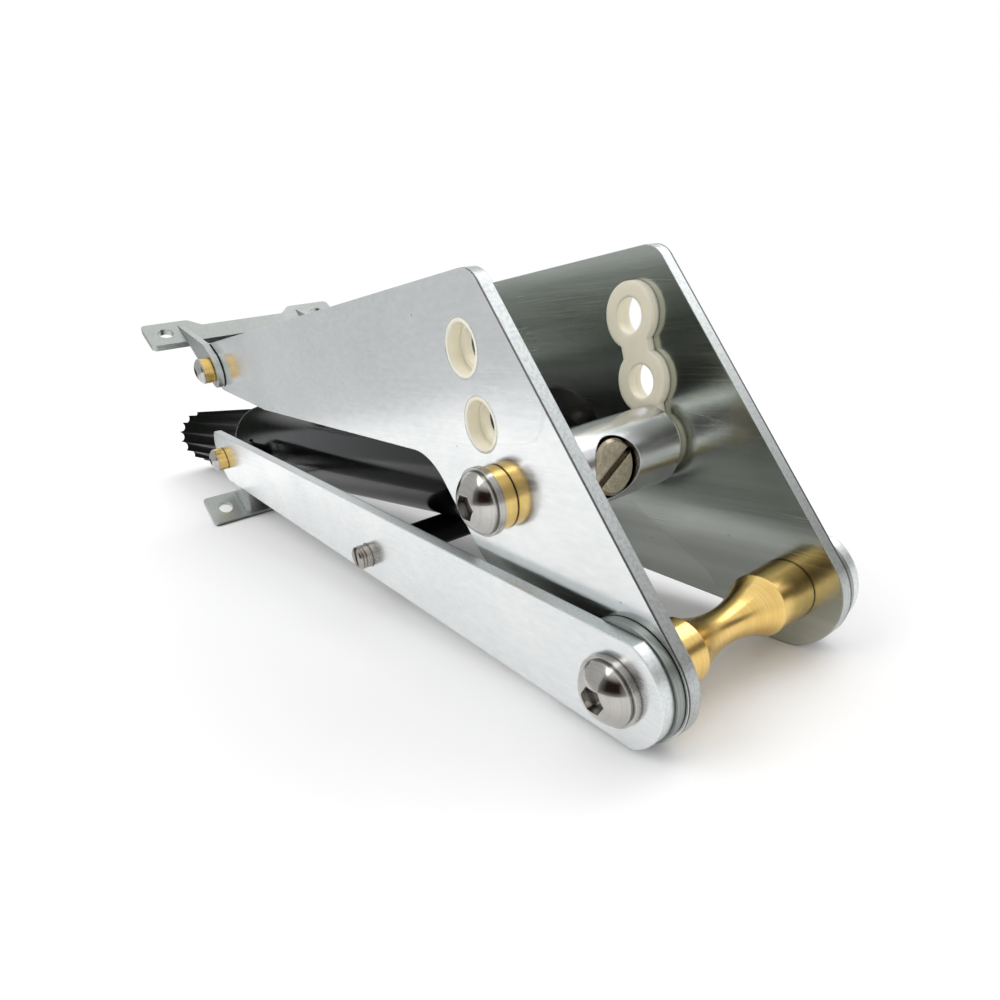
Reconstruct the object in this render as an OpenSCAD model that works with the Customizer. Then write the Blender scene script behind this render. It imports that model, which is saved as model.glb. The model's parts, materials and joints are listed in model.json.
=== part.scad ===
// Automatic greenhouse vent opener, in millimetres with +Z up.
// Two lower arms and two upper plates fold about the main pivot.
// A wax cylinder between them pushes a cross bar that lifts the plates.

/* [Linkage] */
// Clear width between the two upper plates
inner_width = 36; // [34:1:40]
// Distance from the main pivot back to the frame pivot
arm_reach = 196; // [186:1:204]
// Distance from the main pivot back to the sash pivot
sash_back = 184; // [176:1:192]
// Height of the sash pivot over the arm line
sash_up = 31; // [29:0.5:33]
// Distance from the main pivot back to the cross bar
cross_bar_back = 29.8; // [27:0.1:32]
// Height of the cross bar over the arm line
cross_bar_up = 21.4; // [20:0.1:23]

/* [Lower arms] */
// Thickness of an arm
arm_t = 2.4; // [1.8:0.1:2.8]
// Width of an arm
arm_w = 18; // [16.4:0.2:19]
// Radius of the bowed arm ends
arm_end_r = 10; // [9.6:0.2:12]
// How far an arm runs in front of the main pivot
arm_nose = 9.5; // [8.6:0.1:10]
// How far an arm runs behind the frame pivot
arm_tail = 9.5; // [8.6:0.1:12]
// Space between an arm and the plate beside it
arm_gap = 1.6; // [1.4:0.1:3]

/* [Upper plates] */
// Thickness of a plate
plate_t = 2.5; // [2:0.1:3]
// Radius of the round heel about the main pivot
heel_r = 10.5; // [10:0.25:12]
// Height of the front top corner over the main pivot
plate_top = 54.9; // [52:0.5:58]
// Lean of the front edge from the vertical, in degrees
front_lean = 39.65; // [38:0.25:41]
// Fall of the top edge to the rear, in degrees
top_fall = 6.05; // [5:0.25:6.5]
// Radius of the front top corner
top_corner_r = 5; // [3:0.5:7]
// Radius of the two corners at the sash end
sash_end_r = 6.6; // [5:0.1:6.8]
// How far the plate runs behind the sash pivot
sash_tail = 7.2; // [6:0.2:9]
// How far the heel runs behind the main pivot
heel_back = 9; // [7:0.5:11]
// Radius of the corner behind the heel
heel_corner_r = 8; // [5:0.5:9]
// Distance back to the instep hollow
instep_back = 16; // [14:0.5:18]
// Depth of the instep hollow under the arm line
instep_drop = 1.5; // [0:0.5:3]
// Distance back to the calf bend
calf_back = 36; // [34:0.5:38]
// Height of the calf bend
calf_up = 7.5; // [6:0.5:9]
// Distance back to the crook under the long part
crook_back = 50.6; // [48:0.5:54]
// Height of the crook
crook_up = 25; // [24:0.5:26]
// Distance back to the wrist where the long part narrows
wrist_back = 145.4; // [138:1:152]
// Height of the wrist
wrist_up = 22.1; // [21.5:0.1:23]

/* [Bush strips] */
// Pitch of the three bushed holes
hole_pitch = 11.6; // [11.6:0.1:12.4]
// Lean of the hole row to the rear, in degrees
hole_lean = 15.8; // [13:0.5:18]
// Diameter of the plate holes that hold the bosses
boss_hole_d = 9; // [8.5:0.1:9.5]
// Outer diameter of a bush ring
ring_d = 11.3; // [10.8:0.1:11.5]
// Thickness of the strip on the inner face
strip_t = 1.65; // [1.4:0.05:2]
// Width of the links between the rings
link_w = 6.4; // [5:0.2:8]

/* [Fasteners] */
// Thread diameter of the main and cross bar screws
screw_d = 6; // [5:0.5:6]
// Diameter of their button heads
head_d = 10.5; // [10:0.1:11]
// Height of their button heads
head_h = 3.3; // [3:0.1:3.6]
// Size across the flats of their hexagon sockets
socket_af = 4; // [3.5:0.5:4]
// Depth of their hexagon sockets
socket_deep = 2; // [1.5:0.1:2.2]
// Diameter of a flat washer
washer_d = 11.5; // [11:0.1:12]
// Thickness of a flat washer
washer_t = 1.2; // [1:0.1:1.6]
// Diameter of a cross bar collar
collar_d = 10.7; // [10:0.1:11]
// Thickness of a cross bar collar
collar_t = 2.6; // [2.2:0.1:3.2]
// Diameter of the collar spigot in the bush
collar_spigot_d = 7.5; // [7.2:0.1:7.8]
// Diameter of the spacers between arm and plate
spacer_d = 20; // [16:0.5:20.5]
// Thread diameter of the frame and sash pivot screws
pin_d = 4; // [3.5:0.25:4.5]
// Diameter of their button heads
pin_head_d = 7.6; // [7.2:0.1:8.4]
// Height of their button heads
pin_head_h = 2.2; // [2:0.1:2.6]
// Size across the flats of their hexagon sockets
pin_socket_af = 2.5; // [2.5:0.5:3]
// Depth of their hexagon sockets
pin_socket_deep = 1.3; // [1:0.1:1.4]
// Diameter of their brass collars
pin_collar_d = 7.6; // [7:0.1:8.2]
// Thickness of their brass collars
pin_collar_t = 3; // [2.4:0.1:3.5]
// Size across the flats of the sash pivot nuts
nut_af = 7; // [7:0.5:8]
// Thickness of a sash pivot nut
nut_t = 3.2; // [2.8:0.1:4]

/* [Spool and cross bar] */
// Diameter of the spool ends
spool_d = 11.2; // [10.8:0.1:12]
// Length of the straight part at each spool end
spool_end = 8.15; // [8:0.05:9]
// Smallest diameter of the waisted neck
neck_d = 6.2; // [5:0.1:7]
// Diameter of the cross bar
cross_bar_d = 14.6; // [14:0.1:16]
// Diameter of the adjusting screw
adjuster_d = 9.7; // [9:0.1:10]
// How far the adjusting screw stands out behind the cross bar surface
adjuster_back = 0.5; // [0.3:0.1:0.9]
// How deep the adjusting screw lies under the front of the cross bar
adjuster_sunk = 1; // [0.6:0.1:2]
// Diameter of the clearance bore in front of the adjusting thread
adjuster_bore_d = 10.6; // [10.6:0.1:11.4]
// How far that bore reaches in
adjuster_bore_deep = 5; // [4:0.2:6]
// Turn of the driver slot, in degrees
slot_turn = 30; // [0:5:90]
// Width of a driver slot
slot_w = 1.3; // [1:0.1:1.6]
// Depth of a driver slot
slot_deep = 1.5; // [1:0.1:1.8]

/* [Cross rod] */
// Diameter of the cross rod
cross_rod_d = 5.5; // [5:0.1:6]
// Distance from the main pivot back to the cross rod
cross_rod_back = 80.4; // [76:0.5:86]
// How far each rod end stands out of its arm
cross_rod_out = 3.2; // [2.4:0.2:4]
// Pitch of the thread grooves at the rod ends
thread_pitch = 0.8; // [0.7:0.1:1]
// Depth of the thread grooves
thread_cut = 0.25; // [0.2:0.05:0.35]
// Outer diameter of the spacer tube on the cross rod
rod_tube_d = 7.4; // [7:0.1:8]

/* [Cylinder] */
// Outer diameter of the barrel
barrel_d = 28; // [26.4:0.2:28.6]
// Room between the barrel and the cross bar when closed
barrel_room = 2.8; // [2.6:0.1:6]
// Length of the barrel behind the frame pivot
barrel_rear = 21.6; // [20:0.2:26]
// Diameter of the working bore
bore_d = 12; // [11:0.1:12.6]
// Width of the sealing ring
seal_ring_w = 1.4; // [1:0.1:2]
// Diameter of the reservoir over the flute tips
reservoir_d = 26; // [25:0.2:27]
// Length of the reservoir behind the sealing ring
reservoir_len = 120.3; // [112:0.5:126]
// Number of flutes
flute_count = 16; // [16:1:18]
// Radius of one flute
flute_r = 2.55; // [2.2:0.05:2.55]
// How far the flute centre lies outside the tips
flute_out = 0.6; // [0.5:0.05:0.9]
// Diameter of the wax cavity
cavity_d = 16; // [14:0.5:16.4]
// Thickness of the closed reservoir end
reservoir_end = 6; // [4:0.5:8]
// Diameter of the screwed spigot of the reservoir
spigot_d = 20; // [19:0.2:21]
// Length of the screwed spigot
spigot_len = 10.5; // [8:0.5:11]
// Diameter of the gland and of its seat
gland_d = 18; // [16:0.5:19]
// Length of the gland in the barrel
gland_len = 16; // [12:1:18]
// Thickness of the rod seal
rod_seal_t = 4; // [3:0.5:5]
// Diameter of the piston rod
piston_rod_d = 8; // [7:0.2:8.4]
// Length of the piston
piston_len = 12; // [10:0.5:12]
// Half width of the flats at the frame pivot
flat_half = 12; // [11.6:0.1:12.4]
// Diameter of the spacers between barrel and bracket
pivot_tube_d = 7; // [6.6:0.2:8]

/* [Brackets] */
// Thickness of the bracket strips and lugs
bracket_t = 2; // [1.6:0.1:2.1]
// Width of a bracket strip
strip_w = 12; // [11.5:0.25:13]
// Length of a bracket strip across the part
strip_len = 69; // [66:1:74]
// Corner radius of a bracket strip
strip_corner_r = 1.6; // [1:0.2:3]
// Diameter of the mounting holes
mount_hole_d = 5; // [4:0.2:5.6]
// Spacing of the two mounting holes of a bracket
mount_spacing = 56; // [54:1:58]
// Radius of a lug about its pivot
lug_r = 5.6; // [5:0.1:6.4]
// Depth of the hollow in the rear edge of the strips
hollow_deep = 3.8; // [3.6:0.1:4.6]
// Clear length of that hollow
hollow_len = 29.6; // [29.2:0.2:30.6]
// Length of the slanted run into that hollow
hollow_run = 4; // [3:0.5:4.5]
// Radius of the fillets in the hollow
hollow_r = 2.2; // [1.5:0.1:2.4]
// Tilt of the frame bracket, in degrees
frame_tilt = 40; // [40:0.5:42]
// Distance from the frame pivot to the strip
frame_drop = 20.1; // [19.8:0.1:22]
// Distance of the strip centre in front of the frame pivot
frame_shift = 6.6; // [6.2:0.1:7.4]
// Tilt of the sash bracket, in degrees
sash_tilt = 30; // [25:1:35]
// Distance from the sash pivot to the strip
sash_drop = 3.6; // [3:0.2:4.2]
// Distance of the strip centre behind the sash pivot
sash_shift = 28; // [26:0.5:30]

/* [Fits] */
// Radial clearance of a running fit
run_gap = 0.05; // [0.03:0.01:0.1]
// Side play between flat faces that turn on each other
side_gap = 0.1; // [0.05:0.05:0.2]
// Distance kept between curved faces that must not rub
touch_gap = 0.3; // [0.3:0.05:0.6]
// Gap between the piston rod and the adjusting screw
tip_gap = 1.3; // [1.3:0.1:2]

/* [Hidden] */
screw_r = screw_d / 2;
screw_hole_r = screw_r + run_gap;
pin_r = pin_d / 2;
pin_hole_r = pin_r + run_gap;
easy_gap = 0.15;
head_rim = 0.18;
edge_break = 0.5;
arc_step = 5;
thread_depth = 7;
blind_room = 0.4;
joint_overlap = 0.5;

// Side stack from the mid plane outwards
plate_in = inner_width / 2;
plate_out = plate_in + plate_t;
arm_in = plate_out + arm_gap;
arm_out = arm_in + arm_t;
strip_in = plate_in - strip_t;
collar_seat = plate_out + side_gap;
bush_bore_r = collar_spigot_d / 2 + run_gap;
lug_round = lug_r - 0.1;
lug_inset = 1;

// Pivots in the arm frame, as [forward, up]
main_pivot = [0, 0];
frame_pivot = [-arm_reach, 0];
sash_pivot = [-sash_back, sash_up];
bar_pivot = [-cross_bar_back, cross_bar_up];
hole_step = hole_pitch * [-sin(hole_lean), cos(hole_lean)];
bush_holes = [bar_pivot, bar_pivot + hole_step, bar_pivot + 2 * hole_step];

// Cylinder axis from the frame pivot to the cross bar
bar_offset = bar_pivot - frame_pivot;
cylinder_tilt = atan2(bar_offset.y, bar_offset.x);
bar_distance = norm(bar_offset);
bar_r = cross_bar_d / 2;
barrel_front = bar_distance - bar_r - barrel_room;
barrel_r = barrel_d / 2;
bore_r = bore_d / 2;
rod_r = piston_rod_d / 2;
reservoir_r = reservoir_d / 2;
reservoir_front = -barrel_rear - seal_ring_w;
reservoir_back = reservoir_front - reservoir_len;
spigot_front = reservoir_front + spigot_len;
spigot_seat = spigot_front + touch_gap;
piston_back = spigot_seat + 2;
piston_front = piston_back + piston_len;
groove_back = piston_back + 4;
groove_w = 3;
groove_r = bore_r - 1.4;
stud_r = rod_r * 0.6;
stud_len = 4;
gland_back = barrel_front - gland_len;
seal_back = gland_back - rod_seal_t;
rod_tip = bar_distance - bar_r - adjuster_back - tip_gap;
tap_depth = flat_half - bore_r - 2;

// The barrel lies just over the cross rod tube when the part is closed
axis_over_rod = (arm_reach - cross_rod_back) * tan(cylinder_tilt);
cross_rod_up = axis_over_rod
    - (barrel_r + touch_gap + rod_tube_d / 2) / cos(cylinder_tilt);
cross_rod_pivot = [-cross_rod_back, cross_rod_up];

// Bracket lugs
frame_lug_out = arm_in - touch_gap;
frame_lug_in = frame_lug_out - bracket_t;
sash_lug_in = plate_out + touch_gap;
sash_lug_out = sash_lug_in + bracket_t;
sash_collar_in = sash_lug_out + side_gap;

// The part stands on the plate heels and on the front edge of the frame bracket
foot_u = frame_shift + strip_w / 2;
foot_w = frame_drop + bracket_t;
foot_x = -arm_reach + foot_u * cos(frame_tilt) - foot_w * sin(frame_tilt);
foot_z = -foot_u * sin(frame_tilt) - foot_w * cos(frame_tilt);
stand_pitch = atan2(-foot_z, -foot_x) - asin(heel_r / norm([foot_x, foot_z]));

// Ends of the part along X, for an origin in the middle of its length
rear_lean = cylinder_tilt - stand_pitch;
rear_end = -arm_reach * cos(stand_pitch) + reservoir_back * cos(rear_lean)
    - reservoir_r * sin(rear_lean);
origin_shift = -(heel_r + rear_end) / 2;

$fn = 72;

// Outline helpers

function unit(v) = v / norm(v);

function arc(centre, r, from, to) =
    let (steps = max(2, ceil(abs(to - from) / arc_step)))
    [for (k = [0 : steps])
        let (a = from + (to - from) * k / steps)
        centre + r * [cos(a), sin(a)]];

// Points that round the corner at q between its neighbours p and n
function rounded_corner(p, q, n, r) =
    let (
        a = unit(p - q),
        b = unit(n - q),
        half = acos(a * b) / 2,
        centre = q + unit(a + b) * r / sin(half),
        start = q + a * r / tan(half) - centre,
        finish = q + b * r / tan(half) - centre,
        from = atan2(start.y, start.x),
        sweep = (atan2(finish.y, finish.x) - from + 540) % 360 - 180
    )
    arc(centre, r, from, from + sweep);

function flat2(p) = [p.x, p.y];

// Each point is [x, y, corner radius]
function rounded(points) =
    let (count = len(points))
    [for (k = [0 : count - 1])
        let (
            p = flat2(points[(k + count - 1) % count]),
            q = flat2(points[k]),
            n = flat2(points[(k + 1) % count]),
            r = points[k].z
        )
        each (r > 0 ? rounded_corner(p, q, n, r) : [q])];

// Placing helpers

module place() {
    translate([origin_shift, 0, heel_r])
        rotate([0, stand_pitch, 0])
            children();
}

module at(pivot) {
    translate([pivot.x, 0, pivot.y])
        children();
}

module along_cylinder() {
    at(frame_pivot)
        rotate([0, -cylinder_tilt, 0])
            children();
}

// Local +Z points outwards from the mid plane, starting at the distance given
module outward(side, distance) {
    translate([0, side * distance, 0])
        rotate([-90 * side, 0, 0])
            children();
}

module both_sides(distance) {
    for (side = [-1, 1])
        outward(side, distance)
            children();
}

// A sheet in the XZ plane, between two distances from the mid plane
module sheet(side, inner, thickness) {
    translate([0, side > 0 ? inner + thickness : -inner, 0])
        rotate([90, 0, 0])
            linear_extrude(thickness)
                children();
}

module hole(pivot, r) {
    translate(pivot)
        circle(r = r);
}

module ring(outer_r, inner_r, height) {
    linear_extrude(height)
        difference() {
            circle(r = outer_r);
            circle(r = inner_r);
        }
}

// A turned piece along the cylinder axis, from [radius, distance] points
module turned(profile) {
    rotate([0, 90, 0])
        rotate_extrude()
            polygon(profile);
}

// Domed head with a hexagon socket on a plain shank, seated at z = 0
module domed_screw(thread_r, head_r, height, socket, deep, shank_len) {
    rim = height * head_rim;
    rise = height - rim;
    dome_r = (head_r * head_r + rise * rise) / (2 * rise);
    difference() {
        intersection() {
            cylinder(r = head_r, h = height);
            translate([0, 0, height - dome_r])
                sphere(r = dome_r);
        }
        translate([0, 0, height - deep])
            cylinder(d = socket / cos(30), h = deep + 1, $fn = 6);
    }
    translate([0, 0, -shank_len])
        cylinder(r = thread_r, h = shank_len + joint_overlap);
}

module button_screw(shank_len) {
    domed_screw(screw_r, head_d / 2, head_h, socket_af, socket_deep, shank_len);
}

module pin_screw(shank_len) {
    domed_screw(
        pin_r, pin_head_d / 2, pin_head_h, pin_socket_af, pin_socket_deep, shank_len
    );
}

// Lower arms

module arm_outline() {
    bow = asin(arm_w / 2 / arm_end_r);
    front = [arm_nose - arm_end_r, 0];
    rear = [arm_end_r - arm_tail - arm_reach, 0];
    difference() {
        polygon(concat(
            arc(front, arm_end_r, -bow, bow),
            arc(rear, arm_end_r, 180 - bow, 180 + bow)
        ));
        hole(main_pivot, screw_hole_r);
        hole(frame_pivot, pin_hole_r);
        hole(cross_rod_pivot, cross_rod_d / 2 + run_gap);
    }
}

module lower_arm(side) {
    color("silver")
        place()
            sheet(side, arm_in, arm_t)
                arm_outline();
}

module lower_arm_right() {
    lower_arm(-1);
}

module lower_arm_left() {
    lower_arm(1);
}

// Main pivot

module main_spool() {
    half = plate_in - side_gap;
    spool_r = spool_d / 2;
    neck_r = neck_d / 2;
    neck_half = half - spool_end;
    waist = spool_r - neck_r;
    hollow_r = (neck_half * neck_half + waist * waist) / (2 * waist);
    tap = thread_depth + blind_room;
    color("goldenrod")
        place()
            difference() {
                outward(1, -half)
                    cylinder(r = spool_r, h = 2 * half);
                outward(1, 0)
                    rotate_extrude()
                        translate([neck_r + hollow_r, 0])
                            circle(r = hollow_r, $fn = 180);
                both_sides(half - tap)
                    cylinder(r = screw_hole_r, h = tap + 1);
            }
}

module main_screws() {
    seat = arm_out + washer_t;
    color("gainsboro")
        place()
            both_sides(seat)
                button_screw(seat - plate_in + side_gap + thread_depth);
}

module main_washers() {
    color("gainsboro")
        place()
            both_sides(arm_out)
                ring(washer_d / 2, screw_r + easy_gap, washer_t);
}

module main_spacers() {
    color("silver")
        place()
            both_sides(plate_out + side_gap)
                ring(spacer_d / 2, screw_r + easy_gap, arm_gap - side_gap);
}

// Cross rod

module cross_rod() {
    half = arm_out + cross_rod_out;
    rod_end_r = cross_rod_d / 2;
    groove_count = floor((cross_rod_out - 2 * edge_break) / thread_pitch);
    near_end = [
        [0, half],
        [rod_end_r - edge_break, half],
        [rod_end_r, half - edge_break],
        for (k = [1 : groove_count])
            let (groove = half - edge_break - (k - 0.5) * thread_pitch)
            each [
                [rod_end_r, groove + thread_cut],
                [rod_end_r - thread_cut, groove],
                [rod_end_r, groove - thread_cut]
            ]
    ];
    far_end = [for (k = [len(near_end) - 1 : -1 : 0]) [near_end[k].x, -near_end[k].y]];
    color("gainsboro")
        place()
            at(cross_rod_pivot)
                difference() {
                    rotate([90, 0, 0])
                        rotate_extrude()
                            polygon(concat(near_end, far_end));
                    both_sides(half - slot_deep / 2)
                        translate([-slot_w / 2, -cross_rod_d, 0])
                            cube([slot_w, 2 * cross_rod_d, slot_deep]);
                }
}

module cross_rod_tube() {
    color("silver")
        place()
            at(cross_rod_pivot)
                outward(1, -arm_in)
                    ring(rod_tube_d / 2, cross_rod_d / 2 + run_gap, 2 * arm_in);
}

// Upper plates

module plate_outline() {
    lean_c = cos(front_lean);
    lean_s = sin(front_lean);
    top_front = (heel_r - lean_s * plate_top) / lean_c;
    toe = (heel_r + lean_s * heel_r) / lean_c;
    rear = -sash_back - sash_tail;
    rear_top = plate_top + (rear - top_front) * tan(top_fall);
    rear_low = 2 * sash_up - rear_top + 0.4;
    difference() {
        polygon(rounded([
            [top_front, plate_top, top_corner_r],
            [toe, -heel_r, heel_r],
            [-heel_back, -heel_r, heel_corner_r],
            [-instep_back, -instep_drop, 6],
            [-calf_back, calf_up, 15],
            [-crook_back, crook_up, 12],
            [-wrist_back, wrist_up, 8],
            [rear, rear_low, sash_end_r],
            [rear, rear_top, sash_end_r]
        ]));
        hole(main_pivot, screw_hole_r);
        hole(sash_pivot, pin_hole_r);
        for (bush = bush_holes)
            hole(bush, boss_hole_d / 2);
    }
}

module upper_plate(side) {
    color("silver")
        place()
            sheet(side, plate_in, plate_t)
                plate_outline();
}

module upper_plate_right() {
    upper_plate(-1);
}

module upper_plate_left() {
    upper_plate(1);
}

// Bush strips, three linked rings with a boss through each plate hole

module bush_strip(side) {
    boss_r = boss_hole_d / 2 - run_gap;
    color("ivory")
        place()
            difference() {
                union() {
                    sheet(side, strip_in, strip_t)
                        union() {
                            for (bush = bush_holes)
                                hole(bush, ring_d / 2);
                            translate(bar_pivot)
                                rotate(90 + hole_lean)
                                    translate([0, -link_w / 2])
                                        square([2 * hole_pitch, link_w]);
                        }
                    for (bush = bush_holes)
                        at(bush)
                            outward(side, plate_in - joint_overlap)
                                cylinder(r = boss_r, h = plate_t + joint_overlap);
                }
                for (bush = bush_holes)
                    at(bush) {
                        outward(side, strip_in - 1)
                            cylinder(r = screw_hole_r, h = strip_t + plate_t + 2);
                        outward(side, plate_in)
                            cylinder(r = bush_bore_r, h = plate_t + 1);
                    }
            }
}

module bush_strip_right() {
    bush_strip(-1);
}

module bush_strip_left() {
    bush_strip(1);
}

// Sash pivot

module sash_pivot_screws() {
    seat = sash_collar_in + pin_collar_t;
    color("gainsboro")
        place()
            at(sash_pivot)
                both_sides(seat)
                    pin_screw(seat - plate_in + nut_t + edge_break);
}

module sash_pivot_collars() {
    color("goldenrod")
        place()
            at(sash_pivot)
                both_sides(sash_collar_in)
                    ring(pin_collar_d / 2, pin_hole_r, pin_collar_t);
}

module sash_pivot_nuts() {
    color("gainsboro")
        place()
            at(sash_pivot)
                both_sides(plate_in - nut_t)
                    difference() {
                        cylinder(d = nut_af / cos(30), h = nut_t, $fn = 6);
                        translate([0, 0, -1])
                            cylinder(r = pin_hole_r, h = nut_t + 2);
                    }
}

// Cross bar

module cross_bar() {
    half = strip_in - side_gap;
    tap = thread_depth + blind_room;
    color("gainsboro")
        place()
            at(bar_pivot)
                difference() {
                    rotate([90, 0, 0])
                        rotate_extrude()
                            polygon([
                                [0, -half],
                                [bar_r - edge_break, -half],
                                [bar_r, edge_break - half],
                                [bar_r, half - edge_break],
                                [bar_r - edge_break, half],
                                [0, half]
                            ]);
                    rotate([0, 90 - cylinder_tilt, 0]) {
                        cylinder(
                            r = adjuster_d / 2 + run_gap,
                            h = 2 * cross_bar_d,
                            center = true
                        );
                        translate([0, 0, bar_r - adjuster_bore_deep])
                            cylinder(d = adjuster_bore_d, h = cross_bar_d);
                    }
                    both_sides(half - tap)
                        cylinder(r = screw_hole_r, h = tap + 1);
                }
}

module cross_bar_screws() {
    seat = collar_seat + collar_t + washer_t;
    color("gainsboro")
        place()
            at(bar_pivot)
                both_sides(seat)
                    button_screw(seat - strip_in + side_gap + thread_depth);
}

module cross_bar_washers() {
    color("gainsboro")
        place()
            at(bar_pivot)
                both_sides(collar_seat + collar_t)
                    ring(washer_d / 2, screw_r + easy_gap, washer_t);
}

// A flanged collar whose spigot turns in the bush
module cross_bar_collars() {
    spigot_h = plate_t - side_gap;
    color("goldenrod")
        place()
            at(bar_pivot)
                both_sides(collar_seat)
                    rotate_extrude()
                        polygon([
                            [screw_r + easy_gap, -spigot_h],
                            [collar_spigot_d / 2, -spigot_h],
                            [collar_spigot_d / 2, 0],
                            [collar_d / 2, 0],
                            [collar_d / 2, collar_t],
                            [screw_r + easy_gap, collar_t]
                        ]);
}

module adjusting_screw() {
    thread_r = adjuster_d / 2;
    rear = -bar_r - adjuster_back;
    front = bar_r - adjuster_sunk;
    color("gainsboro")
        place()
            at(bar_pivot)
                rotate([0, -cylinder_tilt, 0])
                    difference() {
                        turned([
                            [0, rear],
                            [thread_r - edge_break, rear],
                            [thread_r, rear + edge_break],
                            [thread_r, front - edge_break],
                            [thread_r - edge_break, front],
                            [0, front]
                        ]);
                        rotate([slot_turn, 0, 0])
                            translate([
                                front - slot_deep,
                                -adjuster_d,
                                -slot_w / 2
                            ])
                                cube([2 * slot_deep, 2 * adjuster_d, slot_w]);
                    }
}

// Cylinder

module barrel() {
    spigot_bore_r = spigot_d / 2 + run_gap;
    gland_bore_r = gland_d / 2 + run_gap;
    color("black")
        place()
            along_cylinder()
                difference() {
                    turned([
                        [spigot_bore_r, -barrel_rear],
                        [barrel_r - edge_break, -barrel_rear],
                        [barrel_r, edge_break - barrel_rear],
                        [barrel_r, barrel_front - edge_break],
                        [barrel_r - edge_break, barrel_front],
                        [gland_bore_r, barrel_front],
                        [gland_bore_r, seal_back],
                        [bore_r, seal_back],
                        [bore_r, spigot_seat],
                        [spigot_bore_r, spigot_seat]
                    ]);
                    both_sides(flat_half)
                        cylinder(d = pivot_tube_d + 2, h = barrel_r);
                    both_sides(flat_half - tap_depth)
                        cylinder(r = pin_hole_r, h = tap_depth + 1);
                }
}

module sealing_ring() {
    color("silver")
        place()
            along_cylinder()
                turned([
                    [spigot_d / 2 + run_gap, reservoir_front],
                    [barrel_r - edge_break, reservoir_front],
                    [barrel_r, reservoir_front + edge_break],
                    [barrel_r, -barrel_rear],
                    [spigot_d / 2 + run_gap, -barrel_rear]
                ]);
}

// Straight fins between round flutes, with a tip at the top
module fluted_outline() {
    difference() {
        circle(r = reservoir_r, $fn = 180);
        for (k = [0 : flute_count - 1])
            rotate((k + 0.5) * 360 / flute_count)
                translate([reservoir_r + flute_out, 0])
                    circle(r = flute_r);
    }
}

module reservoir() {
    color("black")
        place()
            along_cylinder()
                difference() {
                    union() {
                        translate([reservoir_back, 0, 0])
                            rotate([0, 90, 0])
                                rotate(180)
                                    linear_extrude(reservoir_len)
                                        fluted_outline();
                        turned([
                            [0, reservoir_front - joint_overlap],
                            [spigot_d / 2, reservoir_front - joint_overlap],
                            [spigot_d / 2, spigot_front],
                            [0, spigot_front]
                        ]);
                    }
                    turned([
                        [0, reservoir_back + reservoir_end],
                        [cavity_d / 2, reservoir_back + reservoir_end],
                        [cavity_d / 2, spigot_front + 1],
                        [0, spigot_front + 1]
                    ]);
                }
}

module wax_charge() {
    color("khaki")
        place()
            along_cylinder()
                turned([
                    [0, reservoir_back + reservoir_end],
                    [cavity_d / 2 - run_gap, reservoir_back + reservoir_end],
                    [cavity_d / 2 - run_gap, spigot_front],
                    [0, spigot_front]
                ]);
}

module gland() {
    rod_bore_r = rod_r + run_gap;
    color("black")
        place()
            along_cylinder()
                turned([
                    [rod_bore_r, gland_back],
                    [gland_d / 2, gland_back],
                    [gland_d / 2, barrel_front],
                    [rod_bore_r + edge_break, barrel_front],
                    [rod_bore_r, barrel_front - edge_break]
                ]);
}

module rod_seal() {
    color("dimgray")
        place()
            along_cylinder()
                turned([
                    [rod_r + run_gap, seal_back],
                    [gland_d / 2, seal_back],
                    [gland_d / 2, gland_back],
                    [rod_r + run_gap, gland_back]
                ]);
}

// Frame pivot, screwed into the barrel on both sides

module frame_pivot_screws() {
    seat = arm_out + side_gap + pin_collar_t;
    color("gainsboro")
        place()
            at(frame_pivot)
                both_sides(seat)
                    pin_screw(seat - flat_half + tap_depth - blind_room);
}

module frame_pivot_collars() {
    color("goldenrod")
        place()
            at(frame_pivot)
                both_sides(arm_out + side_gap)
                    ring(pin_collar_d / 2, pin_r + easy_gap, pin_collar_t);
}

module frame_pivot_tubes() {
    color("silver")
        place()
            at(frame_pivot)
                both_sides(flat_half)
                    ring(
                        pivot_tube_d / 2,
                        pin_r + easy_gap,
                        frame_lug_in - side_gap - flat_half
                    );
}

// Piston

module piston_rod() {
    color("gainsboro")
        place()
            along_cylinder()
                turned([
                    [0, piston_front - stud_len],
                    [stud_r, piston_front - stud_len],
                    [stud_r, piston_front],
                    [rod_r, piston_front],
                    [rod_r, rod_tip - edge_break],
                    [rod_r - edge_break, rod_tip],
                    [0, rod_tip]
                ]);
}

module piston() {
    piston_r = bore_r - run_gap;
    socket_r = stud_r + run_gap;
    socket_end = piston_front - stud_len - blind_room;
    color("goldenrod")
        place()
            along_cylinder()
                turned([
                    [0, piston_back],
                    [piston_r, piston_back],
                    [piston_r, groove_back],
                    [groove_r, groove_back],
                    [groove_r, groove_back + groove_w],
                    [piston_r, groove_back + groove_w],
                    [piston_r, piston_front],
                    [socket_r, piston_front],
                    [socket_r, socket_end],
                    [0, socket_end]
                ]);
}

module piston_seal() {
    color("dimgray")
        place()
            along_cylinder()
                turned([
                    [groove_r + run_gap, groove_back + run_gap],
                    [bore_r - run_gap, groove_back + run_gap],
                    [bore_r - run_gap, groove_back + groove_w - run_gap],
                    [groove_r + run_gap, groove_back + groove_w - run_gap]
                ]);
}

// Brackets, a cross strip with two upright lugs

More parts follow.
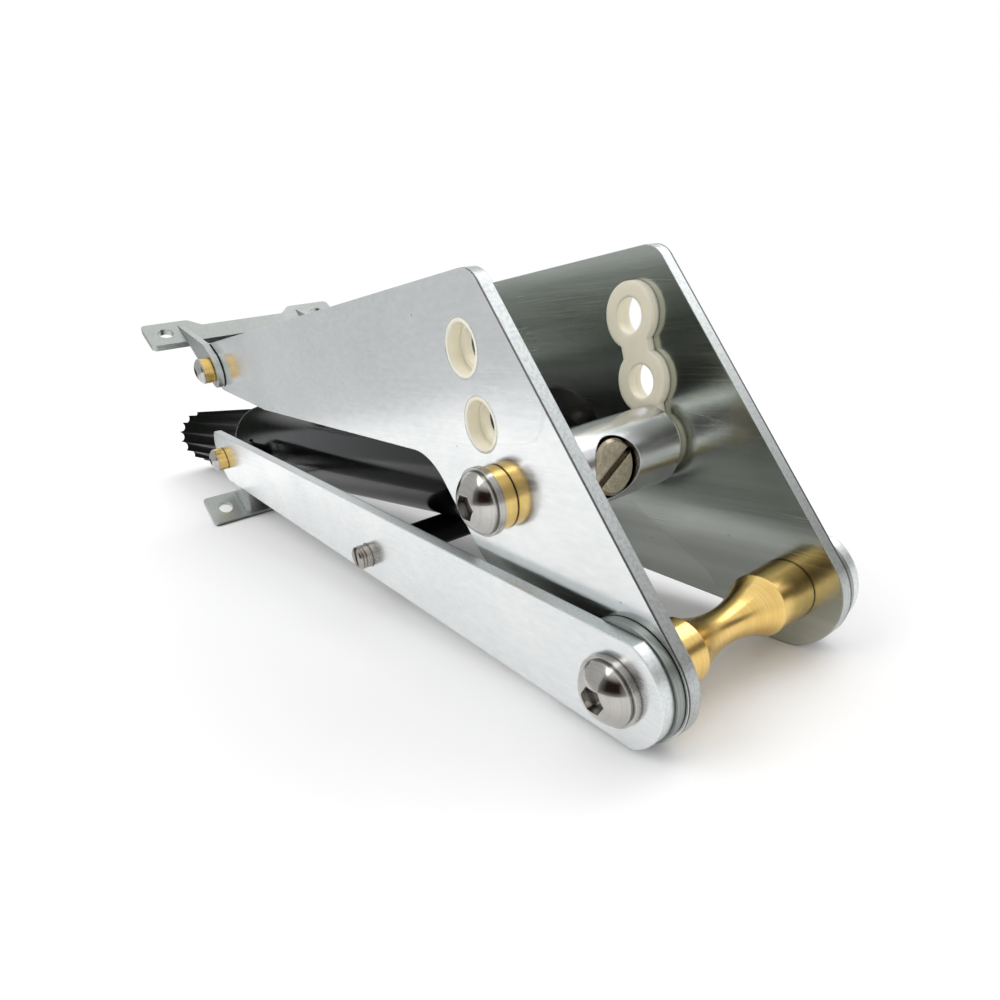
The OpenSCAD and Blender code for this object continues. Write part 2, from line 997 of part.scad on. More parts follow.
module strip_outline(centre) {
    front = centre + strip_w / 2;
    rear = centre - strip_w / 2;
    hollow = rear + hollow_deep;
    end = strip_len / 2;
    floor_end = hollow_len / 2;
    mouth = floor_end + hollow_run;
    difference() {
        polygon(rounded([
            [front, -end, strip_corner_r],
            [front, end, strip_corner_r],
            [rear, end, strip_corner_r],
            [rear, mouth, hollow_r],
            [hollow, floor_end, hollow_r],
            [hollow, -floor_end, hollow_r],
            [rear, -mouth, hollow_r],
            [rear, -end, strip_corner_r]
        ]));
        for (side = [-1, 1])
            translate([centre, side * mount_spacing / 2])
                circle(d = mount_hole_d);
    }
}

module bracket_strip(centre, drop) {
    translate([0, 0, -drop - bracket_t])
        linear_extrude(bracket_t)
            strip_outline(centre);
}

module frame_bracket() {
    foot = -frame_drop - joint_overlap;
    color("silver")
        place()
            at(frame_pivot)
                rotate([0, frame_tilt, 0]) {
                    bracket_strip(frame_shift, frame_drop);
                    for (side = [-1, 1])
                        sheet(side, frame_lug_in, bracket_t)
                            difference() {
                                polygon(rounded([
                                    [frame_shift - strip_w / 2 + lug_inset, foot, 0],
                                    [frame_shift + strip_w / 2 - lug_inset, foot, 0],
                                    [lug_r, -lug_r, lug_r],
                                    [lug_r, lug_r, lug_round],
                                    [-lug_r, lug_r, lug_round],
                                    [-lug_r, -lug_r, lug_r]
                                ]));
                                circle(r = pin_hole_r);
                            }
                }
}

module sash_bracket() {
    foot = -sash_drop - joint_overlap;
    color("silver")
        place()
            at(sash_pivot)
                rotate([0, sash_tilt, 0]) {
                    bracket_strip(-sash_shift, sash_drop);
                    for (side = [-1, 1])
                        sheet(side, sash_lug_in, bracket_t)
                            difference() {
                                polygon(rounded([
                                    [-sash_shift - strip_w / 2 + lug_inset, foot, 0],
                                    [-sash_shift + strip_w / 2 - lug_inset, foot, 0],
                                    [-lug_r, -lug_r, lug_r],
                                    [lug_r, -lug_r, lug_round],
                                    [lug_r, lug_r, lug_round],
                                    [-lug_r, lug_r, lug_round]
                                ]));
                                circle(r = pin_hole_r);
                            }
                }
}

lower_arm_right();
lower_arm_left();
main_spool();
main_screws();
main_washers();
main_spacers();
cross_rod();
cross_rod_tube();
upper_plate_right();
upper_plate_left();
bush_strip_right();
bush_strip_left();
sash_pivot_screws();
sash_pivot_collars();
sash_pivot_nuts();
cross_bar();
cross_bar_screws();
cross_bar_washers();
cross_bar_collars();
adjusting_screw();
barrel();
sealing_ring();
reservoir();
wax_charge();
gland();
rod_seal();
frame_pivot_screws();
frame_pivot_collars();
frame_pivot_tubes();
piston_rod();
piston();
piston_seal();
sash_bracket();
frame_bracket();
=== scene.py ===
import json
import math

import bmesh
import bpy
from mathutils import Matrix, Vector

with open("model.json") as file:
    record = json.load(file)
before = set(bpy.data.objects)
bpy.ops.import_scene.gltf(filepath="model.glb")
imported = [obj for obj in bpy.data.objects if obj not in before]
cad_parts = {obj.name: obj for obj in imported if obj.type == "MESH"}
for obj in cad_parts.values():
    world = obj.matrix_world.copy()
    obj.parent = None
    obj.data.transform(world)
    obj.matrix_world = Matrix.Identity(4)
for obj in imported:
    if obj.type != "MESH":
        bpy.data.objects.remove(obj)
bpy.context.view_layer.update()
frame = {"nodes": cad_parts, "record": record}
nodes = frame["nodes"]
print("frame loaded:", len(nodes), "nodes")


def linearColour(hexColour):
    parts = [int(hexColour[i : i + 2], 16) / 255 for i in (1, 3, 5)]
    return [p / 12.92 if p <= 0.04045 else ((p + 0.055) / 1.055) ** 2.4 for p in parts] + [1.0]


def perMetre(sizeMm):
    return 1000.0 / sizeMm  # texture scale for one feature every sizeMm


# adds a node: settings are properties or input values, links are nodes (first output) or sockets
def addNode(tree, kind, settings=None, links=None):
    node = tree.nodes.new(kind)
    for key, value in (settings or {}).items():
        if hasattr(node, str(key)) and key not in node.inputs:
            setattr(node, key, value)
        else:
            node.inputs[key].default_value = value
    for key, source in (links or {}).items():
        socket = source.outputs[0] if isinstance(source, bpy.types.Node) else source
        tree.links.new(socket, node.inputs[key])
    return node


def startMaterial(name):
    mat = bpy.data.materials.new(name)
    mat.use_nodes = True
    mat.node_tree.nodes.clear()
    return mat, mat.node_tree


# camera, at the photograph's viewing angle
cameraView = {
    "place": (0.22219, -0.07873, 0.063087),
    "turn": (62.775, 7.879, 53.919),
    "sensor": 36.0,
    "lens": 23.087,
    "shift": (0.0041, 0.1264),
    "nearest": 0.005,
}


def makeCamera(view):
    data = bpy.data.cameras.new("camera")
    data.sensor_width = view["sensor"]
    data.lens = view["lens"]
    data.shift_x, data.shift_y = view["shift"]
    data.clip_start = view["nearest"]
    camera = bpy.data.objects.new("camera", data)
    camera.location = view["place"]
    camera.rotation_euler = [math.radians(a) for a in view["turn"]]
    bpy.context.scene.collection.objects.link(camera)
    bpy.context.scene.camera = camera


makeCamera(cameraView)
print("camera set")

# studio: white floor and surround, two softboxes, and glowing cards that only a reflection shows, which
# paint light and dark reflections into the metal
studio = {
    "floorSize": 6.0,
    "floorColour": "#FCFCFC",
    "floorFade": (0.3, 0.7),
    "surround": 0.84,
    "lampAim": (0.0, 0.0, 0.03),
    "lamps": {
        "keyLamp": {"place": (-0.35, -0.8, 0.95), "size": 0.9, "power": 5.0},
        "fillLamp": {"place": (0.15, 0.9, 1.0), "size": 0.8, "power": 4.0},
    },
    "cards": {
        "greyReflectionCard": {
            "place": (-0.024, -0.325, 0.25),
            "facing": (0.85, 0.51, 0.0),
            "size": (0.64, 0.5),
            "colour": "#CDCFD0",
            "soft": (0.02, 0.06),
        },
        "darkRearReflectionCard": {
            "place": (-0.382, 0.274, 0.01),
            "facing": (0.85, 0.51, 0.0),
            "size": (0.77, 0.2),
            "colour": "#30352F",
            "soft": (0.02, 0.35),
        },
        "darkFrontReflectionCard": {
            "place": (0.3, -0.38, 0.17),
            "facing": (-0.2, 1.0, 0.0),
            "size": (1.0, 0.64),
            "colour": "#2B1A12",
            "soft": (0.75, 0.7),
        },
        "sideReflectionCard": {
            "place": (0.63, 0.5, 0.22),
            "facing": (-0.7, -0.7, -0.2),
            "size": (0.7, 0.34),
            "colour": "#6B6358",
            "soft": (0.5, 0.6),
        },
    },
}


# 1 for the rays that show the background, which are camera, mirror and see-through rays
def markSeenRays(tree):
    rays = addNode(tree, "ShaderNodeLightPath")
    seen = rays.outputs["Is Camera Ray"]
    for name in ("Is Glossy Ray", "Is Transmission Ray"):
        seen = addNode(tree, "ShaderNodeMath", {"operation": "MAXIMUM"}, {0: seen, 1: rays.outputs[name]})
    return seen


def makeLamp(name, values, aim):
    data = bpy.data.lights.new(name, "AREA")
    data.size = values["size"]
    data.energy = values["power"]
    lamp = bpy.data.objects.new(name, data)
    lamp.location = values["place"]
    towards = Vector(aim) - Vector(values["place"])
    lamp.rotation_euler = towards.to_track_quat("-Z", "Y").to_euler()
    bpy.context.scene.collection.objects.link(lamp)


def makeSquare(name, width, height):
    mesh = bpy.data.meshes.new(name)
    bm = bmesh.new()
    bmesh.ops.create_grid(bm, x_segments=1, y_segments=1, size=0.5)
    bmesh.ops.scale(bm, vec=(width, height, 1.0), verts=bm.verts)
    bm.to_mesh(mesh)
    bm.free()
    square = bpy.data.objects.new(name, mesh)
    bpy.context.scene.collection.objects.link(square)
    return square


# a card glows and only mirror rays see it: a painted reflection, light or dark, that lights nothing and
# shades nothing
def makeCard(name, values):
    card = makeSquare(name, *values["size"])
    card.location = values["place"]
    card.rotation_euler = Vector(values["facing"]).to_track_quat("Z", "Y").to_euler()
    mat, tree = startMaterial(name)
    place = addNode(tree, "ShaderNodeTexCoord")
    spot = addNode(tree, "ShaderNodeSeparateXYZ", links={0: place.outputs["Object"]})
    fades = []
    for axis, size, soft in zip("XY", values["size"], values["soft"]):
        reach = addNode(tree, "ShaderNodeMath", {"operation": "ABSOLUTE"}, {0: spot.outputs[axis]})
        ends = {"From Min": size / 2 * (1 - soft), "From Max": size / 2, "To Min": 1.0, "To Max": 0.0}
        fades.append(addNode(tree, "ShaderNodeMapRange", ends, {"Value": reach}))
    cover = addNode(tree, "ShaderNodeMath", {"operation": "MULTIPLY"}, {0: fades[0], 1: fades[1]})
    clear = addNode(tree, "ShaderNodeBsdfTransparent")
    glow = addNode(tree, "ShaderNodeEmission", {"Color": linearColour(values["colour"]), "Strength": 1.0})
    paint = addNode(tree, "ShaderNodeMixShader", links={0: cover, 1: clear, 2: glow})
    addNode(tree, "ShaderNodeOutputMaterial", links={"Surface": paint})
    card.data.materials.append(mat)
    card.visible_camera = False
    card.visible_diffuse = False
    card.visible_shadow = False


def makeFloor(values):
    floor = makeSquare("floor", values["floorSize"], values["floorSize"])
    mat, tree = startMaterial("paper sweep, matt white")
    paper = addNode(tree, "ShaderNodeBsdfDiffuse", {"Color": linearColour(values["floorColour"])})
    white = addNode(tree, "ShaderNodeEmission", {"Color": (1, 1, 1, 1), "Strength": 1.0})
    place = addNode(tree, "ShaderNodeTexCoord")
    away = addNode(tree, "ShaderNodeVectorMath", {"operation": "LENGTH"}, {0: place.outputs["Object"]})
    near, far = values["floorFade"]
    ends = {"From Min": near, "From Max": far}
    fade = addNode(tree, "ShaderNodeMapRange", ends, {"Value": away.outputs["Value"]})
    shown = addNode(tree, "ShaderNodeMath", {"operation": "MULTIPLY"}, {0: fade, 1: markSeenRays(tree)})
    sweep = addNode(tree, "ShaderNodeMixShader", links={0: shown, 1: paper, 2: white})
    addNode(tree, "ShaderNodeOutputMaterial", links={"Surface": sweep})
    floor.data.materials.append(mat)


def makeSurround(strength):
    world = bpy.data.worlds.new("studio surround")
    world.use_nodes = True
    tree = world.node_tree
    tree.nodes.clear()
    soft = addNode(tree, "ShaderNodeBackground", {"Color": (1, 1, 1, 1), "Strength": strength})
    white = addNode(tree, "ShaderNodeBackground", {"Color": (1, 1, 1, 1), "Strength": 1.0})
    mix = addNode(tree, "ShaderNodeMixShader", links={0: markSeenRays(tree), 1: soft, 2: white})
    addNode(tree, "ShaderNodeOutputWorld", links={"Surface": mix})
    bpy.context.scene.world = world


makeFloor(studio)
makeSurround(studio["surround"])
for lampName, lampValues in studio["lamps"].items():
    makeLamp(lampName, lampValues, studio["lampAim"])
for cardName, cardValues in studio["cards"].items():
    makeCard(cardName, cardValues)
bpy.context.scene.view_settings.view_transform = "Standard"
print("studio set")


# what all finishes share: the height of fine relief, and how deep in a corner the painted shade and grime
# start and fill it
surface = {
    "edgeSamples": 4,
    "reliefMm": 0.05,
    "cornerSamples": 6,
    "cornerFull": 0.3,
    "cornerStart": 0.75,
}


# relief on top of a softened edge, which catches the light as a broken edge does
def raiseRelief(tree, height, strength, edgeMm):
    soften = {"samples": surface["edgeSamples"], "Radius": edgeMm / 1000}
    edge = addNode(tree, "ShaderNodeBevel", soften)
    depth = {"Strength": strength, "Distance": surface["reliefMm"] / 1000}
    return addNode(tree, "ShaderNodeBump", depth, {"Height": height, "Normal": edge})


# painted shade with old oil and dirt: the colour goes darker in corners where pieces meet and down in
# sockets, the more closed in a spot is
def layGrimeAndCornerShade(tree, colour, grimeAndShade, reachMm):
    reach = {"samples": surface["cornerSamples"], "Distance": reachMm / 1000}
    shelter = addNode(tree, "ShaderNodeAmbientOcclusion", reach)
    full, start = surface["cornerFull"], surface["cornerStart"]
    ends = {"From Min": full, "From Max": start, "To Min": 1.0, "To Max": 0.0}
    # painted shade: the more a spot is closed in by nearby surfaces, the darker its colour
    cornerShadeMask = addNode(tree, "ShaderNodeMapRange", ends, {"Value": shelter.outputs["AO"]})
    settings = {"data_type": "RGBA", 7: linearColour(grimeAndShade)}
    return addNode(tree, "ShaderNodeMix", settings, {0: cornerShadeMask, 6: colour}).outputs[2]


# rolled aluminium sheet: a soft mirror with hair-fine rolling lines, faint smudges and a few scratches.
# Faces that look inwards, to the middle of the opener, are painted a darker, duller grey as painted shade.
# Blanked edges are greyer and rougher, with a painted shadow of the burr, a dark line beside the outer face.
sheetFinishes = {
    "plates": {
        "name": "aluminium sheet, rolled bright, plates",  # a soft mirror
        "nodes": ["upper_plate_right", "upper_plate_left"],
        "colour": "#F2F3F3",
        "dark": "#E0E3E3",
        # the inside colours are painted shade for the faces that look inwards
        "inside": ("#C8CCC6", "#B4B9B3"),
        "cut": ("#BABEBE", "#A6ABAB"),
        "rough": (0.16, 0.23),
        "edgeMm": 0.25,
        "burrMm": 20.05,  # from the middle of the opener, just inside the outer face
    },
    "arms": {
        "name": "aluminium sheet, rolled bright, arms",  # the same, paler and more satin
        "nodes": ["lower_arm_right", "lower_arm_left"],
        "colour": "#F4F5F5",
        "dark": "#E0E4E5",
        # the inside colours are painted shade for the faces that look inwards
        "inside": ("#C8CCC6", "#B4B9B3"),
        "cut": ("#DEE2E3", "#CED3D4"),
        "rough": (0.18, 0.26),
        "edgeMm": 0.5,
        "burrMm": 25.0,
    },
    "brackets": {
        "name": "aluminium strip, rolled, brackets",  # greyer, with a broad sheen
        "nodes": ["sash_bracket", "frame_bracket"],
        "colour": "#C5C9C7",
        "dark": "#B1B6B3",
        "inside": None,
        "rough": (0.26, 0.34),
        "edgeMm": 0.3,
        "burrMm": None,
    },
}
sheetLook = {
    "patterns": {  # size in mm along x, y and z, then detail
        "line": ((18.0, 0.3, 0.3), 2.0),  # real rolling lines are finer, and would not show
        "grain": ((2.2, 0.8, 0.8), 2.0),  # coarser than the real grain, for the same reason
        "smudge": ((26.0, 26.0, 18.0), 3.0),
        "wander": ((60.0, 7.0, 7.0), 0.0),
        "patch": ((22.0, 22.0, 22.0), 1.0),
    },
    "edgePatterns": {  # painted inside shade and torn edges, where a sheet has an inside
        "band": ((160.0, 4.0, 4.0), 2.0),
        "tear": ((0.5, 0.5, 0.5), 2.0),
    },
    "spans": {  # the part of each pattern's values that is used
        "line": (0.3, 0.7),
        "smudge": (0.45, 0.7),
        "patch": (0.5, 0.62),
        "tone": (0.5, 1.1),
        "band": (0.35, 0.65),
        "tear": (0.4, 0.7),
        "cut": (0.45, 0.55),
        "pit": (0.015, 0.04),
    },
    "pit": "#6F6C6A",
    # colour of the burr's painted shadow, a dark line along each cut edge beside the outer face
    "burrShade": "#3A3033",
    # colour of the painted shade and grime in the corners
    "grimeAndShade": "#3B3936",
    "pitMm": 7.0,
    "pitStrength": 0.7,
    "grainStrength": 0.6,
    "creviceMm": 0.7,
    "scratchWide": 0.008,
    "smudgeRough": 0.05,
    "scratchRough": 0.1,
    "cutRough": 0.36,
    "relief": 0.04,
    "burrShadeWideMm": 0.14,
    "burrShadeStrength": 0.85,
}


def makeSheetMaterial(values, look):
    mat, tree = startMaterial(values["name"])
    place = addNode(tree, "ShaderNodeTexCoord")
    spot = place.outputs["Object"]
    spans = {name: {"From Min": low, "From Max": high} for name, (low, high) in look["spans"].items()}
    downwards = {"To Min": 1.0, "To Max": 0.0}
    wanted = {**look["patterns"], **look["edgePatterns"]} if values["inside"] else look["patterns"]
    pattern = {}
    for name, (sizeMm, detail) in wanted.items():
        scale = [perMetre(size) for size in sizeMm]
        stretch = addNode(tree, "ShaderNodeMapping", {"Scale": scale}, {"Vector": spot})
        settings = {"Scale": 1.0, "Detail": detail}
        pattern[name] = addNode(tree, "ShaderNodeTexNoise", settings, {"Vector": stretch})

    # scratches run where the wander pattern crosses its middle, in some patches only
    off = addNode(tree, "ShaderNodeMath", {"operation": "SUBTRACT", 1: 0.5}, {0: pattern["wander"]})
    off = addNode(tree, "ShaderNodeMath", {"operation": "ABSOLUTE"}, {0: off})
    ends = {"From Max": look["scratchWide"], **downwards}
    hair = addNode(tree, "ShaderNodeMapRange", ends, {"Value": off})
    some = addNode(tree, "ShaderNodeMapRange", spans["patch"], {"Value": pattern["patch"]})
    scratch = addNode(tree, "ShaderNodeMath", {"operation": "MULTIPLY"}, {0: hair, 1: some})

    # tone: smudges with the rolled grain over them
    settings = {"operation": "MULTIPLY_ADD", 1: look["grainStrength"]}
    tone = addNode(tree, "ShaderNodeMath", settings, {0: pattern["grain"], 2: pattern["smudge"]})
    tone = addNode(tree, "ShaderNodeMapRange", spans["tone"], {"Value": tone})
    tones = {"data_type": "RGBA", 6: linearColour(values["colour"]), 7: linearColour(values["dark"])}
    colour = addNode(tree, "ShaderNodeMix", tones, {0: tone}).outputs[2]

    # roughness: rolling lines, greasy smudges and scratches
    low, high = values["rough"]
    ends = {**spans["line"], "To Min": low, "To Max": high}
    rough = addNode(tree, "ShaderNodeMapRange", ends, {"Value": pattern["line"]})
    ends = {**spans["smudge"], "To Max": look["smudgeRough"]}
    grease = addNode(tree, "ShaderNodeMapRange", ends, {"Value": pattern["smudge"]})
    rough = addNode(tree, "ShaderNodeMath", {"operation": "ADD"}, {0: rough, 1: grease})
    settings = {"operation": "MULTIPLY_ADD", 1: look["scratchRough"]}
    rough = addNode(tree, "ShaderNodeMath", settings, {0: scratch, 2: rough})

    settings = {"operation": "ADD"}
    height = addNode(tree, "ShaderNodeMath", settings, {0: pattern["line"], 1: pattern["grain"]})
    if values["inside"]:
        facing = addNode(tree, "ShaderNodeSeparateXYZ", links={0: place.outputs["Normal"]})
        along = addNode(tree, "ShaderNodeSeparateXYZ", links={0: spot})

        # the side that looks to the middle of the opener, painted darker as painted shade
        links = {0: facing.outputs["Y"], 1: along.outputs["Y"]}
        inward = addNode(tree, "ShaderNodeMath", {"operation": "MULTIPLY"}, links)
        inward = addNode(tree, "ShaderNodeMath", {"operation": "LESS_THAN", 1: 0.0}, {0: inward})
        band = addNode(tree, "ShaderNodeMapRange", spans["band"], {"Value": pattern["band"]})
        pale, dull = [linearColour(c) for c in values["inside"]]
        insideShade = addNode(tree, "ShaderNodeMix", {"data_type": "RGBA", 6: pale, 7: dull}, {0: band})
        links = {0: inward, 6: colour, 7: insideShade.outputs[2]}
        colour = addNode(tree, "ShaderNodeMix", {"data_type": "RGBA"}, links).outputs[2]

        # blanked edges, torn grey, with the burr's painted shadow as a dark line beside the outer face
        sideways = addNode(tree, "ShaderNodeMath", {"operation": "ABSOLUTE"}, {0: facing.outputs["Y"]})
        cut = addNode(tree, "ShaderNodeMapRange", {**spans["cut"], **downwards}, {"Value": sideways})
        torn = addNode(tree, "ShaderNodeMapRange", spans["tear"], {"Value": pattern["tear"]})
        pale, dull = [linearColour(c) for c in values["cut"]]
        edge = addNode(tree, "ShaderNodeMix", {"data_type": "RGBA", 6: pale, 7: dull}, {0: torn})
        # painted shadow of the burr: a dark line just inside the outer face
        out = addNode(tree, "ShaderNodeMath", {"operation": "ABSOLUTE"}, {0: along.outputs["Y"]})
        start = values["burrMm"] / 1000
        stop = start + look["burrShadeWideMm"] / 1000
        ends = {"From Min": start, "From Max": stop, "To Max": look["burrShadeStrength"]}
        burrShade = addNode(tree, "ShaderNodeMapRange", ends, {"Value": out})
        settings = {"data_type": "RGBA", 7: linearColour(look["burrShade"])}
        edge = addNode(tree, "ShaderNodeMix", settings, {0: burrShade, 6: edge.outputs[2]})
        links = {0: cut, 6: colour, 7: edge.outputs[2]}
        colour = addNode(tree, "ShaderNodeMix", {"data_type": "RGBA"}, links).outputs[2]
        ragged = addNode(tree, "ShaderNodeMath", {"operation": "MULTIPLY", 1: look["cutRough"]}, {0: cut})
        rough = addNode(tree, "ShaderNodeMath", {"operation": "MAXIMUM"}, {0: rough, 1: ragged})
        links = {0: cut, 1: pattern["tear"], 2: height}
        height = addNode(tree, "ShaderNodeMath", {"operation": "MULTIPLY_ADD"}, links)

    # small dark pits, then painted shade and grime in the corners
    cells = addNode(tree, "ShaderNodeTexVoronoi", {"Scale": perMetre(look["pitMm"])}, {0: spot})
    ends = {**spans["pit"], "To Min": look["pitStrength"], "To Max": 0.0}
    pit = addNode(tree, "ShaderNodeMapRange", ends, {"Value": cells.outputs["Distance"]})
    settings = {"data_type": "RGBA", 7: linearColour(look["pit"])}
    colour = addNode(tree, "ShaderNodeMix", settings, {0: pit, 6: colour}).outputs[2]
    colour = layGrimeAndCornerShade(tree, colour, look["grimeAndShade"], look["creviceMm"])
    normal = raiseRelief(tree, height, look["relief"], values["edgeMm"])
    links = {"Base Color": colour, "Roughness": rough, "Normal": normal}
    shader = addNode(tree, "ShaderNodeBsdfPrincipled", {"Metallic": 1.0}, links)
    addNode(tree, "ShaderNodeOutputMaterial", links={"Surface": shader})
    return mat


# turned metals: tool rings square to the turning axis, which smear each reflection along the piece,
# and a dark line of old oil and painted shade where pieces meet and down in the sockets. The rings are drawn
# coarser than the real ones, which would not show.
turnedFinishes = {
    "bright_steel": {
        "name": "stainless steel, polished",  # near mirror, small sharp lights
        "colour": "#C6C4C0",
        "dark": "#B0ADA8",
        "grimeAndShade": "#26211D",
        "creviceMm": 1.8,
        "ringMm": 0.3,
        "rough": (0.1, 0.16),
        "smear": 0.1,
        "relief": 0.01,
        "edgeMm": 0.2,
    },
    "satin_steel": {
        "name": "steel bar, fine turned",  # one long soft highlight
        "colour": "#D6D8D9",
        "dark": "#C8CACB",
        "grimeAndShade": "#2B2826",
        "creviceMm": 1.0,
        "ringMm": 0.5,
        "rough": (0.2, 0.26),
        "smear": 0.4,
        "relief": 0.015,
        "edgeMm": 0.3,
    },
    "dull_steel": {
        "name": "steel screw, tumbled and dulled",  # grey brown, hardly shines
        "nodes": ["adjusting_screw"],
        "colour": "#B2A894",
        "dark": "#8E8472",
        "grimeAndShade": "#3A3129",
        "creviceMm": 0.9,
        "ringMm": 0.6,
        "runMm": 0.6,  # an even grain, no rings
        "rough": (0.24, 0.34),
        "smear": 0.0,
        "relief": 0.02,
        "edgeMm": 0.25,
    },
    "rod_steel": {
        "name": "steel rod, rolled thread",  # dull rings with dark roots
        "nodes": ["cross_rod"],
        "colour": "#B4AFA8",
        "dark": "#938D86",
        "grimeAndShade": "#2B2724",
        "creviceMm": 0.6,
        "ringMm": 0.4,
        "rough": (0.22, 0.32),
        "smear": 0.2,
        "relief": 0.02,
        "edgeMm": 0.3,
    },
    "turned_brass": {
        "name": "brass, turned and buffed",  # warm gold, streaked round the axis
        "colour": "#EFCF86",
        "dark": "#DDB96D",
        "grimeAndShade": "#3A2A12",
        "creviceMm": 0.8,
        "ringMm": 0.35,
        "rough": (0.18, 0.27),
        "smear": 0.5,
        "relief": 0.03,
        "edgeMm": 0.25,
    },
    "turned_aluminium": {
        "name": "aluminium, fine turned",  # pale and silky
        "colour": "#D9DCDD",
        "dark": "#CBCFD0",
        "grimeAndShade": "#33312E",
        "creviceMm": 1.0,
        "ringMm": 0.4,
        "rough": (0.2, 0.3),
        "smear": 0.4,
        "relief": 0.015,
        "edgeMm": 0.2,
    },
    "dull_aluminium": {
        # a darker grey, partly the spacer's dull finish and partly painted shade for the gap between arm and
        # plate where it sits
        "name": "aluminium spacer, dulled, with painted shade",  # flat grey
        "nodes": ["main_spacers"],
        "colour": "#9DA29E",
        "dark": "#8A8F8B",
        "grimeAndShade": "#2A2A28",
        "creviceMm": 0.8,
        "ringMm": 0.4,
        "rough": (0.3, 0.4),
        "smear": 0.2,
        "relief": 0.02,
        "edgeMm": 0.2,
    },
}
turnedLook = {
    "ringRunMm": 400.0,  # a tool ring doesn't change across the piece
    "tarnishMm": 5.0,
    "toneSpan": (0.7, 1.3),
    "smearTurn": 0.25,  # a quarter turn, so that the smear goes along the piece
}


def makeTurnedMaterial(values, look):
    mat, tree = startMaterial(values["name"])
    place = addNode(tree, "ShaderNodeTexCoord")
    run = values.get("runMm", look["ringRunMm"])
    scale = [perMetre(size) for size in (run, values["ringMm"], run)]
    stretch = addNode(tree, "ShaderNodeMapping", {"Scale": scale}, {"Vector": place.outputs["Object"]})
    ring = addNode(tree, "ShaderNodeTexNoise", {"Scale": 1.0, "Detail": 2.0}, {"Vector": stretch})
    settings = {"Scale": perMetre(look["tarnishMm"]), "Detail": 3.0}
    tarnish = addNode(tree, "ShaderNodeTexNoise", settings, {"Vector": place.outputs["Object"]})
    shade = addNode(tree, "ShaderNodeMath", {"operation": "ADD"}, {0: ring, 1: tarnish})
    low, high = look["toneSpan"]
    tone = addNode(tree, "ShaderNodeMapRange", {"From Min": low, "From Max": high}, {"Value": shade})
    tones = {"data_type": "RGBA", 6: linearColour(values["colour"]), 7: linearColour(values["dark"])}
    colour = addNode(tree, "ShaderNodeMix", tones, {0: tone}).outputs[2]
    colour = layGrimeAndCornerShade(tree, colour, values["grimeAndShade"], values["creviceMm"])
    low, high = values["rough"]
    rough = addNode(tree, "ShaderNodeMapRange", {"To Min": low, "To Max": high}, {"Value": tone})
    normal = raiseRelief(tree, ring, values["relief"], values["edgeMm"])
    around = addNode(tree, "ShaderNodeTangent", {"direction_type": "RADIAL", "axis": "Y"})
    shader = addNode(
        tree,
        "ShaderNodeBsdfPrincipled",
        {"Metallic": 1.0, "Anisotropic": values["smear"], "Anisotropic Rotation": look["smearTurn"]},
        {"Base Color": colour, "Roughness": rough, "Normal": normal, "Tangent": around},
    )
    addNode(tree, "ShaderNodeOutputMaterial", links={"Surface": shader})
    return mat


# coated and moulded surfaces: a body colour with a fine mottle in tone and gloss, paler where edges are worn
mouldedFinishes = {
    "black_gloss": {
        "name": "aluminium tube, gloss black anodised",  # deep black, clear reflections
        "colour": "#0B0B0D",
        "dark": "#060607",
        "worn": "#1C1C1E",
        "shine": 0.25,
        "grainMm": 6.0,
        "rough": (0.09, 0.15),
        "relief": 0.01,
        "through": 0.0,
        "edgeMm": 0.3,
    },
    "black_anodised": {
        "name": "aluminium extrusion, satin black anodised",  # black with broad dim highlights
        "nodes": ["cross_rod_tube", "frame_pivot_tubes"],
        "colour": "#0A0A0B",
        "dark": "#060607",
        "worn": "#101011",
        "shine": 0.1,
        "grainMm": 12.0,
        "rough": (0.3, 0.36),
        "relief": 0.01,
        "through": 0.0,
        "edgeMm": 0.02,
    },
    "nylon": {
        "name": "natural nylon, moulded",  # creamy, light goes a little way in
        "colour": "#F0EBD8",
        "dark": "#E6DFC8",
        "worn": "#F4F2EA",
        "shine": 0.5,
        "grainMm": 2.5,
        "rough": (0.32, 0.45),
        "relief": 0.04,
        "through": 0.35,
        "edgeMm": 0.8,
    },
    "rubber": {
        "name": "nitrile rubber, moulded",  # matt black
        "colour": "#161616",
        "dark": "#0E0E0E",
        "worn": "#1E1E1E",
        "shine": 0.5,
        "grainMm": 0.8,
        "rough": (0.6, 0.8),
        "relief": 0.1,
        "through": 0.0,
        "edgeMm": 0.2,
    },
    "wax": {
        "name": "paraffin wax, cast",  # pale yellow, light goes well in
        "colour": "#E6D7A8",
        "dark": "#D9C78E",
        "worn": "#EBDDB2",
        "shine": 0.5,
        "grainMm": 3.0,
        "rough": (0.4, 0.55),
        "relief": 0.05,
        "through": 0.5,
        "edgeMm": 0.4,
    },
}
mouldedLook = {
    "throughMm": 1.2,  # how far light goes into nylon and wax
    "throughTint": (1.0, 0.9, 0.7),  # red goes furthest
    "edgeSpan": (0.98, 0.85),
    "rubSpan": (0.4, 0.6),
    "rubLeast": 0.2,
    "roughSpan": (0.3, 0.7),
}


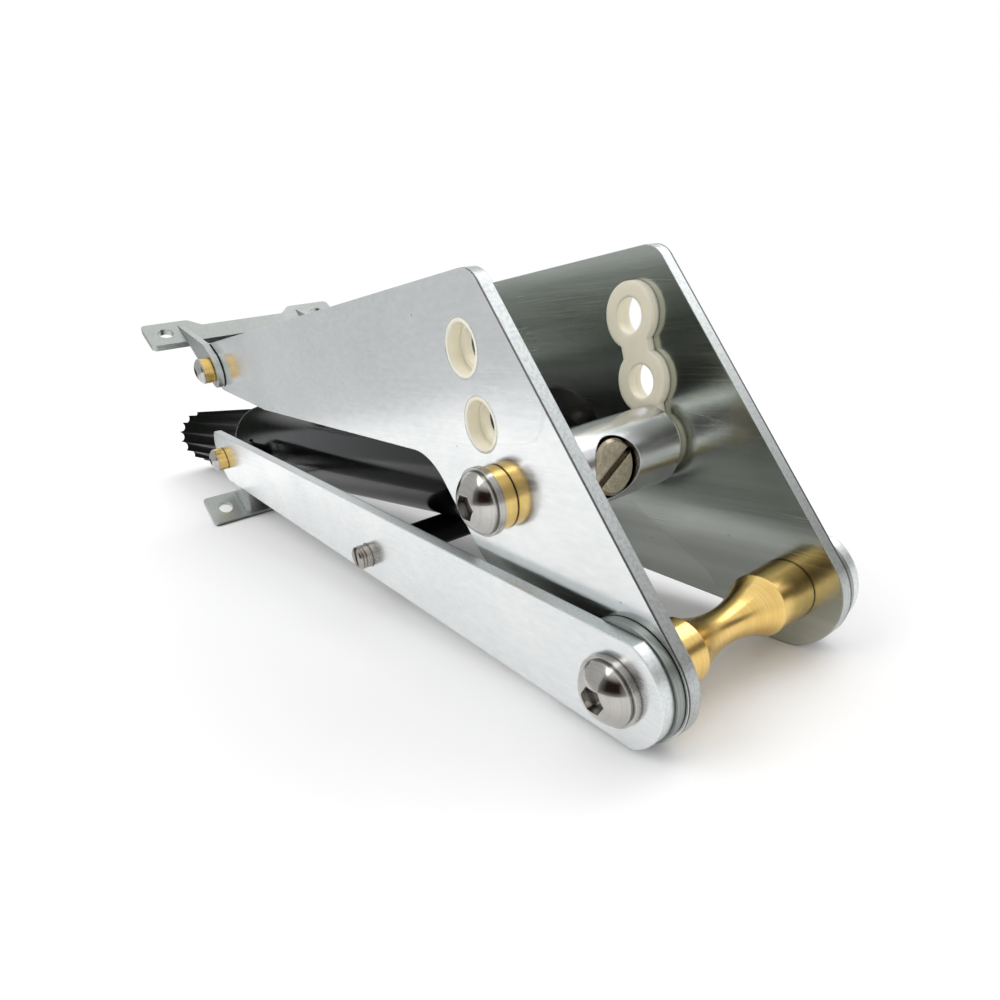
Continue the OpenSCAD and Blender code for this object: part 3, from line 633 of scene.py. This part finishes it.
def makeMouldedMaterial(values, look):
    mat, tree = startMaterial(values["name"])
    place = addNode(tree, "ShaderNodeTexCoord")
    settings = {"Scale": perMetre(values["grainMm"]), "Detail": 3.0}
    grain = addNode(tree, "ShaderNodeTexNoise", settings, {"Vector": place.outputs["Object"]})
    tones = {"data_type": "RGBA", 6: linearColour(values["colour"]), 7: linearColour(values["dark"])}
    colour = addNode(tree, "ShaderNodeMix", tones, {0: grain}).outputs[2]

    # an edge is where the softened normal leaves the flat one
    soften = {"samples": surface["edgeSamples"], "Radius": values["edgeMm"] / 1000}
    soft = addNode(tree, "ShaderNodeBevel", soften)
    flat = addNode(tree, "ShaderNodeNewGeometry")
    links = {0: soft, 1: flat.outputs["Normal"]}
    same = addNode(tree, "ShaderNodeVectorMath", {"operation": "DOT_PRODUCT"}, links)
    low, high = look["edgeSpan"]
    ends = {"From Min": low, "From Max": high}
    edge = addNode(tree, "ShaderNodeMapRange", ends, {"Value": same.outputs["Value"]})
    low, high = look["rubSpan"]
    ends = {"From Min": low, "From Max": high, "To Min": look["rubLeast"]}
    rub = addNode(tree, "ShaderNodeMapRange", ends, {"Value": grain})
    worn = addNode(tree, "ShaderNodeMath", {"operation": "MULTIPLY"}, {0: edge, 1: rub})
    settings = {"data_type": "RGBA", 7: linearColour(values["worn"])}
    colour = addNode(tree, "ShaderNodeMix", settings, {0: worn, 6: colour}).outputs[2]
    smooth, coarse = values["rough"]
    low, high = look["roughSpan"]
    ends = {"From Min": low, "From Max": high, "To Min": smooth, "To Max": coarse}
    rough = addNode(tree, "ShaderNodeMapRange", ends, {"Value": grain})
    normal = raiseRelief(tree, grain, values["relief"], values["edgeMm"])
    shader = addNode(
        tree,
        "ShaderNodeBsdfPrincipled",
        {
            "Metallic": 0.0,
            "Specular IOR Level": values["shine"],
            "Subsurface Weight": values["through"],
            "Subsurface Radius": look["throughTint"],
            "Subsurface Scale": look["throughMm"] / 1000,
        },
        {"Base Color": colour, "Roughness": rough, "Normal": normal},
    )
    addNode(tree, "ShaderNodeOutputMaterial", links={"Surface": shader})
    return mat


finishes = {}
for slotName, slotValues in turnedFinishes.items():
    finishes[slotName] = makeTurnedMaterial(slotValues, turnedLook)
for slotName, slotValues in mouldedFinishes.items():
    finishes[slotName] = makeMouldedMaterial(slotValues, mouldedLook)
dressed = {sub["node"]: finishes.get(sub["material_slot"]) for sub in frame["record"]["subparts"]}
for slotName, slotValues in {**turnedFinishes, **mouldedFinishes}.items():
    for nodeName in slotValues.get("nodes", []):
        dressed[nodeName] = finishes[slotName]
for sheetValues in sheetFinishes.values():
    sheet = makeSheetMaterial(sheetValues, sheetLook)
    for nodeName in sheetValues["nodes"]:
        dressed[nodeName] = sheet
for nodeName, finish in dressed.items():
    slots = nodes[nodeName].data.materials
    slots.clear()
    slots.append(finish)
print("finishes made:", len(finishes) + len(sheetFinishes))
